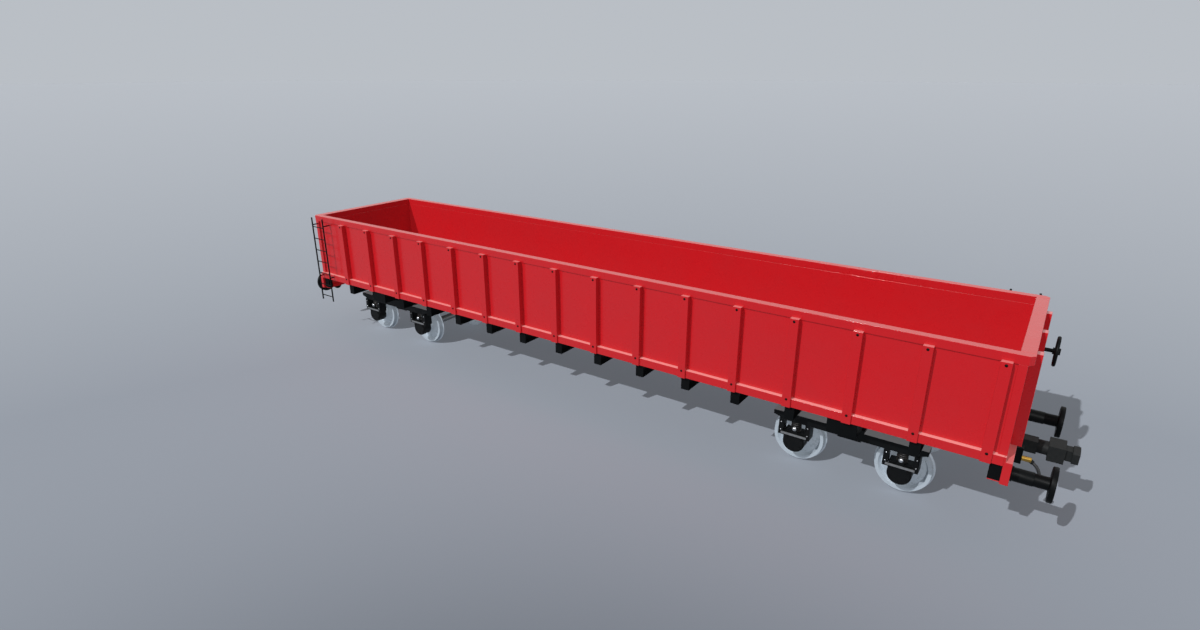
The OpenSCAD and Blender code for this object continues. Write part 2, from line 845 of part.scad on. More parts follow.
// Half section of a wheel, along the axle from the inner face of the rim
module wheel_section() {
    tread_r = tread_d / 2;
    rim_r = tread_r - rim_t;
    hub_r = hub_d / 2;
    web_low = wheel_w / 2 - web_t / 2;
    polygon([
        [axle_d / 2 + fit_gap, 0], [hub_r, 0],
        [hub_r + web_t, web_low + web_dish], [rim_r - web_t, web_low - web_dish], [rim_r, 0],
        [tread_r, 0], [flange_r, flange_t / 4], [flange_r, flange_t / 2], [tread_r + tread_taper, flange_t],
        [tread_r - tread_taper, wheel_w], [rim_r, wheel_w],
        [rim_r - web_t, web_low + web_t - web_dish], [hub_r + web_t, web_low + web_t + web_dish],
        [hub_r, hub_w], [axle_d / 2 + fit_gap, hub_w]
    ]);
}

module wheels(i) {
    color("lightslategray") translate([axle_x(i), 0, axle_z])
        for (sy = [0, 1])
            mirror([0, sy, 0])
                translate([0, -back_to_back / 2, 0])
                    rotate([quarter_turn, 0, 0]) rotate_extrude() wheel_section();
}

deck();
side_wall(-1);  // side_wall_near
side_wall(1);  // side_wall_far
end_wall(1);  // end_wall_front
end_wall(-1);  // end_wall_rear
side_rail(-1);  // top_rail_near
side_rail(1);  // top_rail_far
end_rail(1);  // top_rail_front
end_rail(-1);  // top_rail_rear
side_posts(-1);  // side_posts_near
side_posts(1);  // side_posts_far
end_posts(1);  // end_posts_front
end_posts(-1);  // end_posts_rear
side_sill(-1);  // side_sill_near
side_sill(1);  // side_sill_far
headstock(1);  // headstock_front
headstock(-1);  // headstock_rear
centre_sill();
cross_bearers(-1);  // cross_bearers_near
cross_bearers(1);  // cross_bearers_far
buffer(1, -1);  // buffer_front_near
buffer(1, 1);  // buffer_front_far
buffer(-1, -1);  // buffer_rear_near
buffer(-1, 1);  // buffer_rear_far
coupler_housing(1);  // coupler_housing_front
coupler_housing(-1);  // coupler_housing_rear
coupler(1);  // coupler_front
coupler(-1);  // coupler_rear
brake_pipe();
brake_cock(1);  // brake_cock_front
brake_cock(-1);  // brake_cock_rear
brake_hose();
hose_coupling();
handbrake_wheel();
ladder(-1);  // ladder_near
ladder(1);  // ladder_far
side_frames(1);  // bogie_front_side_frames
side_frames(-1);  // bogie_rear_side_frames
bogie_bolster(1);  // bogie_front_bolster
bogie_bolster(-1);  // bogie_rear_bolster
axle_boxes(1);  // bogie_front_axle_boxes
axle_boxes(-1);  // bogie_rear_axle_boxes
springs(1);  // bogie_front_springs
springs(-1);  // bogie_rear_springs
axle(0);  // axle_1
axle(1);  // axle_2
axle(2);  // axle_3
axle(3);  // axle_4
wheels(0);  // wheels_1
wheels(1);  // wheels_2
wheels(2);  // wheels_3
wheels(3);  // wheels_4
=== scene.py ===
import json
import math

import bpy
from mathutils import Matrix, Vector

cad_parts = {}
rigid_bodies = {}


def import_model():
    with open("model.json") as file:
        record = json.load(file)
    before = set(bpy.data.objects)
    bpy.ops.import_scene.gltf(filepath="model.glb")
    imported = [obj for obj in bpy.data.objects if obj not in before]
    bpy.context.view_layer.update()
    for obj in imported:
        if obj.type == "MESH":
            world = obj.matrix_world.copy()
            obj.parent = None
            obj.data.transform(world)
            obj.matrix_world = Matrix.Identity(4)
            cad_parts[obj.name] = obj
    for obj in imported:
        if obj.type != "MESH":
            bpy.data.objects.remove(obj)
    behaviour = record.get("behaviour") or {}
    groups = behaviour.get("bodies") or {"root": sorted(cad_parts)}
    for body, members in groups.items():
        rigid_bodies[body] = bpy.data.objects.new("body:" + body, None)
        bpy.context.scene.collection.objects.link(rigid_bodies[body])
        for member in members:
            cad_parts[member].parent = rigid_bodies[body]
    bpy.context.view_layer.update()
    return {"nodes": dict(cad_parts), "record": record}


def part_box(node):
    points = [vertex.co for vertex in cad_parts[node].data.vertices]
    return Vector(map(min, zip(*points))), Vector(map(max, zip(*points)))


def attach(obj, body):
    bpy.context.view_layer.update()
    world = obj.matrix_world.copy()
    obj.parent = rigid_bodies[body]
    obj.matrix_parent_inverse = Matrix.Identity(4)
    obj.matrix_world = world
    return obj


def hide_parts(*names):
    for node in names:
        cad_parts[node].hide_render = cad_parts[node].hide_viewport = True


for leftover in list(bpy.data.objects):  # a default file's cube would count as a piece
    bpy.data.objects.remove(leftover)
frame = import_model()
nodes = frame["nodes"]
scene = bpy.context.scene
scene.view_settings.view_transform = "Standard"
print("frame loaded:", len(nodes), "nodes")


# Camera

cameraLook = {
    "place": (8.2385, -11.856, 6.817),  # metres, in the wagon's frame
    "tilt": 69.95,  # degrees from straight down
    "heading": 34.97,  # degrees to the left of straight across the wagon
    "lens": 20.27,  # mm on the sensor below
    "sensor": 36.0,
    "clip": 400.0,
}


def makeCamera(look):
    data = bpy.data.cameras.new("photoCamera")
    data.sensor_fit = "HORIZONTAL"
    data.sensor_width = look["sensor"]
    data.lens = look["lens"]
    data.clip_end = look["clip"]
    camera = bpy.data.objects.new("photoCamera", data)
    camera.location = look["place"]
    camera.rotation_euler = (math.radians(look["tilt"]), 0, math.radians(look["heading"]))
    scene.collection.objects.link(camera)
    scene.camera = camera


makeCamera(cameraLook)
print("camera placed")


# Shader helpers: every pattern is on Object coordinates

def newFinish(name):
    finish = bpy.data.materials.new(name)
    finish.use_nodes = True
    return finish, finish.node_tree, finish.node_tree.nodes["Principled BSDF"]


def addNode(tree, kind, values=None, **settings):
    node = tree.nodes.new(kind)
    for key, value in settings.items():
        setattr(node, key, value)
    for key, value in (values or {}).items():
        if isinstance(value, bpy.types.NodeSocket):
            tree.links.new(value, node.inputs[key])
        else:
            node.inputs[key].default_value = value
    return node


def objectSpace(tree, scale=(1, 1, 1)):
    coords = addNode(tree, "ShaderNodeTexCoord").outputs["Object"]
    return addNode(tree, "ShaderNodeMapping", {"Vector": coords, "Scale": scale}).outputs["Vector"]


def noise(tree, vector, scale, detail=3.0, rough=0.5):
    made = addNode(tree, "ShaderNodeTexNoise",
                   {"Vector": vector, "Scale": scale, "Detail": detail, "Roughness": rough})
    return made.outputs["Fac"]


def remap(tree, value, low, high, toLow, toHigh, ramp="LINEAR"):
    made = addNode(tree, "ShaderNodeMapRange",
                   {"Value": value, "From Min": low, "From Max": high, "To Min": toLow, "To Max": toHigh},
                   interpolation_type=ramp)
    return made.outputs["Result"]


def mixTone(tree, factor, first, second):
    made = addNode(tree, "ShaderNodeMix", data_type="RGBA")
    for socket, value in ((made.inputs[0], factor), (made.inputs[6], first), (made.inputs[7], second)):
        if isinstance(value, bpy.types.NodeSocket):
            tree.links.new(value, socket)
        else:
            socket.default_value = value
    return made.outputs[2]


def maths(tree, operation, first, second=0.0):
    made = addNode(tree, "ShaderNodeMath", {0: first, 1: second}, operation=operation)
    return made.outputs[0]


def grain(tree, shader, height, strength, depth):
    bump = addNode(tree, "ShaderNodeBump", {"Height": height, "Strength": strength, "Distance": depth})
    tree.links.new(bump.outputs["Normal"], shader.inputs["Normal"])


def rgba(color):
    return (*color, 1.0)


# Paints: slow changes of tone, road dust that gathers low down, and a fine sprayed grain.
# Ledges give a foot, a head and the tone of the faces that look up between them: a painted highlight on the
# body, dust and painted light on the bogies.

bodyPaint = {
    "name": "bodyRedPaint", "tone": (0.435, 0.008, 0.012), "faded": (0.41, 0.010, 0.014),
    "dust": (0.26, 0.10, 0.085), "dustTop": 1.75, "dustFoot": 1.1, "dustMost": 0.06,
    "smooth": 0.24, "rough": 0.34, "grain": 0.04, "shine": 0.3, "coat": 0.26, "seams": 0.0,
    # Painted highlight: the paler tones below are painted on upward faces at these heights and stand in for sky
    # light reflected off the tops.
    "topDustAndHighlight": (
        (1.495, 1.515, (0.62, 0.16, 0.16)),  # headstocks
        (1.572, 1.592, (0.74, 0.29, 0.28)),  # sills, between the posts
        (3.01, 3.03, (0.64, 0.19, 0.19)),  # heads of the side posts
        (3.1, 3.2, (0.60, 0.066, 0.069)),  # top rails
    ),
}
deckPaint = {
    "name": "deckRedPaint", "tone": (0.36, 0.010, 0.014), "faded": (0.27, 0.028, 0.026),
    "dust": (0.20, 0.11, 0.09), "dustTop": 2.2, "dustFoot": 1.5, "dustMost": 0.40,
    "smooth": 0.45, "rough": 0.75, "grain": 0.14, "shine": 0.4, "coat": 0.0, "seams": 0.012, "topDustAndHighlight": (),
}
framePaint = {
    "name": "underframeBlackPaint", "tone": (0.0024, 0.003, 0.0034), "faded": (0.004, 0.0046, 0.005),
    "dust": (0.020, 0.019, 0.018), "dustTop": 1.2, "dustFoot": 0.4, "dustMost": 0.10,
    "smooth": 0.36, "rough": 0.50, "grain": 0.08, "shine": 0.06, "coat": 0.0, "seams": 0.0, "topDustAndHighlight": (),
}
bogiePaint = {
    "name": "bogieBlackPaint", "tone": (0.0024, 0.003, 0.0034), "faded": (0.0045, 0.005, 0.0055),
    "dust": (0.024, 0.022, 0.020), "dustTop": 0.8, "dustFoot": 0.1, "dustMost": 0.12,
    "smooth": 0.34, "rough": 0.50, "grain": 0.10, "shine": 0.12, "coat": 0.0, "seams": 0.0,
    "topDustAndHighlight": ((1.04, 1.08, (0.33, 0.34, 0.355)),),  # dust and painted light on the side frames' beams: their upward faces painted pale grey
}
paintPattern = {
    "clouds": 0.9, "cloudSpan": (0.35, 0.7), "specks": 14.0, "speckSpan": (0.38, 0.68), "speckLeast": 0.2,
    "sheen": 5.0, "sheenSpan": (0.3, 0.7), "dustRough": 0.5, "halfPlate": 0.5, "seamShade": 0.45,
    "upFrom": 0.5, "upFull": 0.9, "upMost": 0.9, "coatRough": 0.12, "spray": 220.0, "sprayDepth": 0.002,
}


def paintFinish(look, pattern):
    finish, tree, shader = newFinish(look["name"])
    space = objectSpace(tree)
    clouds = noise(tree, space, pattern["clouds"], 5.0, 0.6)
    tone = mixTone(tree, remap(tree, clouds, *pattern["cloudSpan"], 0, 1), rgba(look["tone"]),
                   rgba(look["faded"]))
    height = addNode(tree, "ShaderNodeSeparateXYZ", {0: space}).outputs["Z"]
    low = remap(tree, height, look["dustTop"], look["dustFoot"], 0, look["dustMost"])
    specks = remap(tree, noise(tree, space, pattern["specks"], 6.0, 0.7), *pattern["speckSpan"],
                   pattern["speckLeast"], 1.0)
    dusty = maths(tree, "MULTIPLY", low, specks)
    tone = mixTone(tree, dusty, tone, rgba(look["dust"]))
    if look["seams"]:  # welds between plates a metre wide
        along = addNode(tree, "ShaderNodeSeparateXYZ", {0: space}).outputs["X"]
        seam = maths(tree, "LESS_THAN", maths(tree, "PINGPONG", along, pattern["halfPlate"]), look["seams"])
        tone = mixTone(tree, seam, tone, rgba([part * pattern["seamShade"] for part in look["tone"]]))
    # Painted light on upward faces: between each foot and head they are mixed towards a paler tone, a painted
    # highlight on the body and dust with painted light on the bogies.
    facing = addNode(tree, "ShaderNodeTexCoord").outputs["Normal"]
    up = remap(tree, addNode(tree, "ShaderNodeSeparateXYZ", {0: facing}).outputs["Z"],
               pattern["upFrom"], pattern["upFull"], 0, pattern["upMost"])
    for foot, head, pale in look["topDustAndHighlight"]:
        between = maths(tree, "MULTIPLY", maths(tree, "GREATER_THAN", height, foot),
                        maths(tree, "LESS_THAN", height, head))
        tone = mixTone(tree, maths(tree, "MULTIPLY", between, up), tone, rgba(pale))
    tree.links.new(tone, shader.inputs["Base Color"])
    sheen = remap(tree, noise(tree, space, pattern["sheen"], 5.0, 0.65), *pattern["sheenSpan"],
                  look["smooth"], look["rough"])
    dulled = maths(tree, "MULTIPLY", dusty, pattern["dustRough"])
    tree.links.new(maths(tree, "ADD", sheen, dulled), shader.inputs["Roughness"])
    shader.inputs["Specular IOR Level"].default_value = look["shine"]
    shader.inputs["Coat Weight"].default_value = look["coat"]
    shader.inputs["Coat Roughness"].default_value = pattern["coatRough"]
    grain(tree, shader, noise(tree, space, pattern["spray"], 2.0), look["grain"], pattern["sprayDepth"])
    return finish


# Bare and cast metals

bogieLayout = {"pivot": 5.883, "axleOff": 0.9, "axleUp": 0.49}  # metres: pivots along, axles from them, axles up
wheelMetal = {"name": "wheelBrushedSteel", "tone": (0.375, 0.428, 0.480), "dull": (0.340, 0.389, 0.437),
              "smooth": 0.24, "rough": 0.36, "rings": 260.0, "ringGrain": 0.08, "ringDepth": 0.0008,
              "stain": 9.0, "stainSpan": (0.3, 0.7), "wornSpan": (0.12, 0.40), "metallic": 0.15}
axleMetal = {"name": "axleTurnedSteel", "tone": (0.34, 0.36, 0.38), "dull": (0.24, 0.24, 0.24),
             "smooth": 0.28, "rough": 0.45}
brassMetal = {"name": "cockBrass", "tone": (0.60, 0.37, 0.075), "dull": (0.42, 0.25, 0.06),
              "smooth": 0.26, "rough": 0.42}
castIron = {"name": "couplerCastIron", "tone": (0.0100, 0.0115, 0.0120), "dull": (0.0140, 0.0150, 0.0150),
            "smooth": 0.42, "rough": 0.62}
zincMetal = {"name": "zincBolt", "tone": (0.55, 0.57, 0.60), "dull": (0.40, 0.42, 0.44),
             "smooth": 0.22, "rough": 0.38}
keeperMetal = {"name": "keeperGreySteel", "tone": (0.24, 0.25, 0.26), "dull": (0.16, 0.165, 0.17),
               "smooth": 0.34, "rough": 0.5}
springMetal = {"name": "springBlackSteel", "tone": (0.008, 0.008, 0.009), "dull": (0.018, 0.016, 0.014),
               "smooth": 0.32, "rough": 0.5}


metalPattern = {"stainSpan": (0.35, 0.7), "roughSpan": (0.3, 0.7), "finer": 9, "grain": 0.12}


def metalFinish(look, metallic, stretch=(1, 1, 1), scale=18.0, depth=0.0008, shine=0.5):
    finish, tree, shader = newFinish(look["name"])
    space = objectSpace(tree, stretch)
    stain = noise(tree, space, scale, 5.0, 0.6)
    patches = remap(tree, stain, *metalPattern["stainSpan"], 0, 1)
    tree.links.new(mixTone(tree, patches, rgba(look["tone"]), rgba(look["dull"])), shader.inputs["Base Color"])
    tree.links.new(remap(tree, stain, *metalPattern["roughSpan"], look["smooth"], look["rough"]),
                   shader.inputs["Roughness"])
    shader.inputs["Metallic"].default_value = metallic
    shader.inputs["Specular IOR Level"].default_value = shine
    grain(tree, shader, noise(tree, space, scale * metalPattern["finer"], 3.0), metalPattern["grain"], depth)
    return finish


# Turned rings round whichever axle is nearest: the four axles lie evenly about the two pivots
def wheelFinish(look, layout):
    finish, tree, shader = newFinish(look["name"])
    space = objectSpace(tree)
    split = addNode(tree, "ShaderNodeSeparateXYZ", {0: space})
    fromMiddle = maths(tree, "ABSOLUTE", split.outputs["X"])
    fromPivot = maths(tree, "ABSOLUTE", maths(tree, "SUBTRACT", fromMiddle, layout["pivot"]))
    along = maths(tree, "SUBTRACT", fromPivot, layout["axleOff"])
    up = maths(tree, "SUBTRACT", split.outputs["Z"], layout["axleUp"])
    radius = maths(tree, "SQRT", maths(tree, "ADD", maths(tree, "MULTIPLY", along, along),
                                       maths(tree, "MULTIPLY", up, up)))
    ringSpace = addNode(tree, "ShaderNodeCombineXYZ", {"X": radius}).outputs["Vector"]
    rings = noise(tree, ringSpace, look["rings"], 3.0)
    stain = noise(tree, space, look["stain"], 5.0, 0.6)
    worn = remap(tree, maths(tree, "MULTIPLY", rings, stain), *look["wornSpan"], 0, 1)
    tree.links.new(mixTone(tree, worn, rgba(look["dull"]), rgba(look["tone"])), shader.inputs["Base Color"])
    tree.links.new(remap(tree, stain, *look["stainSpan"], look["smooth"], look["rough"]),
                   shader.inputs["Roughness"])
    shader.inputs["Metallic"].default_value = look["metallic"]
    grain(tree, shader, rings, look["ringGrain"], look["ringDepth"])
    return finish


# Rubber with a fine woven cover
hoseCover = {"name": "hoseRubber", "tone": (0.010, 0.010, 0.011), "worn": (0.028, 0.027, 0.026), "weave": 420.0,
             "weaveGrain": 0.25, "weaveDepth": 0.0008, "scuff": 40.0, "scuffSpan": (0.45, 0.75),
             "smooth": 0.5, "rough": 0.75}


def rubberFinish(look):
    finish, tree, shader = newFinish(look["name"])
    space = objectSpace(tree)
    weave = addNode(tree, "ShaderNodeTexChecker", {"Vector": space, "Scale": look["weave"]}).outputs["Fac"]
    scuff = remap(tree, noise(tree, space, look["scuff"], 5.0), *look["scuffSpan"], 0, 1)
    tree.links.new(mixTone(tree, scuff, rgba(look["tone"]), rgba(look["worn"])), shader.inputs["Base Color"])
    tree.links.new(remap(tree, scuff, 0, 1, look["smooth"], look["rough"]), shader.inputs["Roughness"])
    grain(tree, shader, weave, look["weaveGrain"], look["weaveDepth"])
    return finish


finishes = {
    "body_red": paintFinish(bodyPaint, paintPattern),
    "deck_red": paintFinish(deckPaint, paintPattern),
    "underframe_black": paintFinish(framePaint, paintPattern),
    "bogie_black": paintFinish(bogiePaint, paintPattern),
    "cast_black": metalFinish(castIron, 0.0, scale=22.0, depth=0.003, shine=0.10),
    "spring_steel": metalFinish(springMetal, 0.0, shine=0.35),
    "wheel_steel": wheelFinish(wheelMetal, bogieLayout),
    "axle_steel": metalFinish(axleMetal, 0.85, stretch=(1, 14, 1)),
    "cock_brass": metalFinish(brassMetal, 1.0),
    "hose_rubber": rubberFinish(hoseCover),
}
zincFinish = metalFinish(zincMetal, 0.9)
keeperFinish = metalFinish(keeperMetal, 0.6)
for piece in frame["record"]["subparts"]:
    nodes[piece["node"]].material_slots[0].material = finishes[piece["material_slot"]]


# Small rounds on the plate work's edges, so that they catch the light

edgeRounds = {
    "width": {"body_red": 0.005, "deck_red": 0.002, "underframe_black": 0.004, "bogie_black": 0.006,
              "cast_black": 0.014},
    "skip": ("handbrake_wheel", "brake_pipe", "ladder_near", "ladder_far", "hose_coupling"),
    "segments": 2, "sharperThan": 35.0, "merge": 0.0001, "flat": 0.5,
}


def roundEdges(node, width, look):
    weld = node.modifiers.new("mergePoints", "WELD")
    weld.merge_threshold = look["merge"]
    flatten = node.modifiers.new("mergeFlats", "DECIMATE")
    flatten.decimate_type = "DISSOLVE"
    flatten.angle_limit = math.radians(look["flat"])
    bevel = node.modifiers.new("roundEdges", "BEVEL")
    bevel.width = width
    bevel.segments = look["segments"]
    bevel.limit_method = "ANGLE"
    bevel.angle_limit = math.radians(look["sharperThan"])
    bevel.harden_normals = True


for piece in frame["record"]["subparts"]:
    if piece["material_slot"] in edgeRounds["width"] and piece["node"] not in edgeRounds["skip"]:
        roundEdges(nodes[piece["node"]], edgeRounds["width"][piece["material_slot"]], edgeRounds)
print("edges rounded")


# Brake hose: out of the cock's sloping spigot, round a bend and down to its coupling

hose = {
    "diameter": 0.050, "side": -0.35, "start": (8.5472, 0.9506), "dip": 35.0, "lead": 0.010, "bend": 0.300,
    "bendSteps": 16, "length": 0.3371,
}


def makeHose(look):
    dip = math.radians(look["dip"])
    startX, startZ = look["start"]
    bendX = startX + look["lead"] * math.cos(dip)
    bendZ = startZ - look["lead"] * math.sin(dip)
    line = [(startX, look["side"], startZ)]
    for step in range(look["bendSteps"] + 1):
        turn = dip + (math.pi / 2 - dip) * step / look["bendSteps"]
        line.append((bendX + look["bend"] * (math.sin(turn) - math.sin(dip)), look["side"],
                     bendZ - look["bend"] * (math.cos(dip) - math.cos(turn))))
    line.append((line[-1][0], look["side"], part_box("hose_coupling")[1].z))
    curve = bpy.data.curves.new("brakeHose", "CURVE")
    curve.dimensions = "3D"
    spline = curve.splines.new("POLY")
    spline.points.add(len(line) - 1)
    for point, place in zip(spline.points, line):
        point.co = (*place, 1.0)
    spline.use_smooth = True
    curve.bevel_depth = look["diameter"] / 2
    curve.bevel_resolution = 5
    curve.use_fill_caps = True
    piece = bpy.data.objects.new("brakeHose", curve)
    curve.materials.append(finishes["hose_rubber"])
    scene.collection.objects.link(piece)
    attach(piece, "wagon")
    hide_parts("brake_hose")
    return piece, line


brakeHose, hoseLine = makeHose(hose)
print("hose laid with", len(hoseLine), "points")


# Geometry Nodes: fasteners and coils set out on points

def newTree(name, sockets):
    tree = bpy.data.node_groups.new(name, "GeometryNodeTree")
    tree.interface.new_socket("Points", in_out="INPUT", socket_type="NodeSocketGeometry")
    for label, kind in sockets:
        tree.interface.new_socket(label, in_out="INPUT", socket_type="NodeSocket" + kind)
    tree.interface.new_socket("Geometry", in_out="OUTPUT", socket_type="NodeSocketGeometry")
    source = tree.nodes.new("NodeGroupInput")
    return tree, source


def setOnPoints(tree, source, shape):
    facing = addNode(tree, "GeometryNodeInputNamedAttribute", {"Name": "facing"}, data_type="FLOAT_VECTOR")
    turn = addNode(tree, "FunctionNodeAlignRotationToVector", {"Vector": facing.outputs["Attribute"]}, axis="Z")
    copies = addNode(tree, "GeometryNodeInstanceOnPoints", {
        "Points": source.outputs["Points"], "Instance": shape, "Rotation": turn.outputs["Rotation"]})
    real = addNode(tree, "GeometryNodeRealizeInstances", {"Geometry": copies.outputs["Instances"]})
    painted = addNode(tree, "GeometryNodeSetMaterial", {
        "Geometry": real.outputs["Geometry"], "Material": source.outputs["Finish"]})
    addNode(tree, "NodeGroupOutput", {"Geometry": painted.outputs["Geometry"]})
    return tree


meshSteps = {"hexSides": 6, "washer": 20, "dome": 20, "domeRings": 12, "coilTurn": 28, "wire": 12}


# Hexagon head on a round washer
def boltTree(steps):
    tree, source = newTree("hexBolt", (("Head Radius", "Float"), ("Head Height", "Float"),
                                       ("Washer Radius", "Float"), ("Washer Height", "Float"),
                                       ("Finish", "Material")))
    parts = []
    for sides, radius, height in ((steps["hexSides"], "Head Radius", "Head Height"),
                                  (steps["washer"], "Washer Radius", "Washer Height")):
        disc = addNode(tree, "GeometryNodeMeshCylinder", {
            "Vertices": sides, "Radius": source.outputs[radius], "Depth": source.outputs[height]})
        half = addNode(tree, "ShaderNodeMath", {0: source.outputs[height], 1: 0.5}, operation="MULTIPLY")
        lift = addNode(tree, "ShaderNodeCombineXYZ", {"Z": half.outputs[0]})
        raised = addNode(tree, "GeometryNodeTransform", {
            "Geometry": disc.outputs["Mesh"], "Translation": lift.outputs["Vector"]})
        parts.append(raised.outputs["Geometry"])
    joined = addNode(tree, "GeometryNodeJoinGeometry")
    for part in parts:
        tree.links.new(part, joined.inputs[0])
    return setOnPoints(tree, source, joined.outputs["Geometry"])


# Round head, flattened from a ball
def domeTree(steps):
    tree, source = newTree("domeHead", (("Head Radius", "Float"), ("Head Height", "Float"),
                                        ("Finish", "Material")))
    ball = addNode(tree, "GeometryNodeMeshUVSphere", {
        "Segments": steps["dome"], "Rings": steps["domeRings"], "Radius": 1.0})
    size = addNode(tree, "ShaderNodeCombineXYZ", {
        "X": source.outputs["Head Radius"], "Y": source.outputs["Head Radius"],
        "Z": source.outputs["Head Height"]})
    shaped = addNode(tree, "GeometryNodeTransform", {
        "Geometry": ball.outputs["Mesh"], "Scale": size.outputs["Vector"]})
    soft = addNode(tree, "GeometryNodeSetShadeSmooth", {"Geometry": shaped.outputs["Geometry"]})
    return setOnPoints(tree, source, soft.outputs["Geometry"])


# Coil of round wire standing on its point
def coilTree(steps):
    tree, source = newTree("coilSpring", (("Coil Radius", "Float"), ("Coil Height", "Float"),
                                          ("Turns", "Float"), ("Wire Radius", "Float"), ("Finish", "Material")))
    spiral = addNode(tree, "GeometryNodeCurveSpiral", {
        "Resolution": steps["coilTurn"], "Rotations": source.outputs["Turns"],
        "Start Radius": source.outputs["Coil Radius"], "End Radius": source.outputs["Coil Radius"],
        "Height": source.outputs["Coil Height"]})
    wire = addNode(tree, "GeometryNodeCurvePrimitiveCircle", {
        "Resolution": steps["wire"], "Radius": source.outputs["Wire Radius"]})
    coil = addNode(tree, "GeometryNodeCurveToMesh", {
        "Curve": spiral.outputs["Curve"], "Profile Curve": wire.outputs["Curve"], "Fill Caps": True})
    soft = addNode(tree, "GeometryNodeSetShadeSmooth", {"Geometry": coil.outputs["Mesh"]})
    return setOnPoints(tree, source, soft.outputs["Geometry"])


def setOut(name, tree, places, values, finish, body):
    points = bpy.data.meshes.new(name + "Points")
    points.from_pydata([place for place, facing in places], [], [])
    facings = points.attributes.new("facing", "FLOAT_VECTOR", "POINT")
    for item, (place, facing) in zip(facings.data, places):
        item.vector = facing
    maker = bpy.data.objects.new(name + "Maker", points)
    scene.collection.objects.link(maker)
    modifier = maker.modifiers.new("setOut", "NODES")
    modifier.node_group = tree
    for socket in tree.interface.items_tree:
        if socket.in_out == "INPUT" and socket.name in values:
            modifier[socket.identifier] = values[socket.name]
        elif socket.in_out == "INPUT" and socket.name == "Finish":
            modifier[socket.identifier] = finish
    evaluated = maker.evaluated_get(bpy.context.evaluated_depsgraph_get())
    mesh = bpy.data.meshes.new_from_object(evaluated)
    bpy.data.objects.remove(maker)
    mesh.name = name
    piece = bpy.data.objects.new(name, mesh)
    scene.collection.objects.link(piece)
    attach(piece, body)
    return piece


hexBolt = boltTree(meshSteps)
domeHead = domeTree(meshSteps)
coilSpring = coilTree(meshSteps)

# Bolts through the posts: one near the head, one at the sill
postBolts = {"count": 16, "postWidth": 0.15, "heights": (2.970, 1.575), "head": 0.022, "height": 0.014}


def boltPosts(look):
    for name, side in (("near", -1), ("far", 1)):
        low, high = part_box("side_posts_" + name)
        pitch = (high.x - low.x - look["postWidth"]) / (look["count"] - 1)
        face = low.y if side < 0 else high.y
        places = [((low.x + look["postWidth"] / 2 + i * pitch, face, height), (0, side, 0))
                  for i in range(look["count"]) for height in look["heights"]]
        setOut("postBolts_" + name, domeHead, places,
               {"Head Radius": look["head"], "Head Height": look["height"]},
               finishes["underframe_black"], "wagon")


boltPosts(postBolts)

# Smooth coils in place of the springs' plain solids
springs = {"turns": 5.0, "wire": 0.015, "radius": 0.078}


def coilBogies(look):
    for end in ("front", "rear"):
        node = "bogie_" + end + "_springs"
        low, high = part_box(node)
        reach = look["radius"] + look["wire"]
        foot = low.z + look["wire"]
        height = high.z - low.z - 2 * look["wire"]
        places = [((x, y, foot), (0, 0, 1)) for x in (low.x + reach, high.x - reach)
                  for y in (low.y + reach, high.y - reach)]
        piece = setOut("coilSprings_" + end, coilSpring, places,
                       {"Coil Radius": look["radius"], "Coil Height": height, "Turns": look["turns"],
                        "Wire Radius": look["wire"]}, finishes["spring_steel"], "bogie_" + end)
        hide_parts(node)


coilBogies(springs)


# Plain boxes joined into one piece
def boxPiece(name, boxes, finish, body):
    corners, faces = [], []
    for low, high in boxes:
        start = len(corners)
        corners += [(x, y, z) for x in (low[0], high[0]) for y in (low[1], high[1]) for z in (low[2], high[2])]
        faces += [[start + k for k in face] for face in ((0, 1, 3, 2), (4, 6, 7, 5), (0, 4, 5, 1), (2, 3, 7, 6),
                                                         (0, 2, 6, 4), (1, 5, 7, 3))]
    mesh = bpy.data.meshes.new(name)
    mesh.from_pydata(corners, [], faces)
    mesh.materials.append(finish)
    piece = bpy.data.objects.new(name, mesh)
    scene.collection.objects.link(piece)
    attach(piece, body)
    return piece


# Axle guards: a grey keeper across the foot, a lug with a bright bolt in the window, and rivets
guards = {
    "face": 1.165, "keeper": (0.23, 0.631, 0.669, 0.012),  # half width, foot, top, depth
    "lug": (0.055, 0.665, 0.800, 1.125, 1.143),  # half width, foot, top, back, front
    "bolt": 0.042, "boltRise": 0.030, "boltUp": 0.762,
    "rivets": ((-0.240, 0.700), (-0.240, 0.850), (0.240, 0.700), (0.240, 0.850)),  # across, up
    "rivet": 0.012, "rivetRise": 0.009,
}


def dressGuards(look, layout):
    halfKeeper, keeperFoot, keeperTop, keeperDepth = look["keeper"]
    halfLug, lugFoot, lugTop, lugBack, lugFront = look["lug"]
    for end, way in (("front", 1), ("rear", -1)):
        spots = [(way * layout["pivot"] + step * layout["axleOff"], side)
                 for step in (-1, 1) for side in (-1, 1)]
        keepers, lugs, bolts, rivets = [], [], [], []
        for x, side in spots:
            keeperY = sorted((side * look["face"], side * (look["face"] + keeperDepth)))
            lugY = sorted((side * lugBack, side * lugFront))
            keepers.append(((x - halfKeeper, keeperY[0], keeperFoot), (x + halfKeeper, keeperY[1], keeperTop)))
            lugs.append(((x - halfLug, lugY[0], lugFoot), (x + halfLug, lugY[1], lugTop)))
            bolts.append(((x, side * lugFront, look["boltUp"]), (0, side, 0)))
            rivets += [((x + across, side * look["face"], up), (0, side, 0)) for across, up in look["rivets"]]
        body = "bogie_" + end
        boxPiece("keepers_" + end, keepers, keeperFinish, body)
        boxPiece("boxLugs_" + end, lugs, finishes["bogie_black"], body)
        setOut("boxBolts_" + end, domeHead, bolts,
               {"Head Radius": look["bolt"], "Head Height": look["boltRise"]}, zincFinish, body)
        setOut("guardRivets_" + end, domeHead, rivets,
               {"Head Radius": look["rivet"], "Head Height": look["rivetRise"]}, zincFinish, body)


dressGuards(guards, bogieLayout)

# Cover bolts in a ring on each axle box
covers = {"face": 1.142, "ring": 0.140, "count": 6,
          "head": 0.017, "rise": 0.013, "washer": 0.024, "washerRise": 0.003}


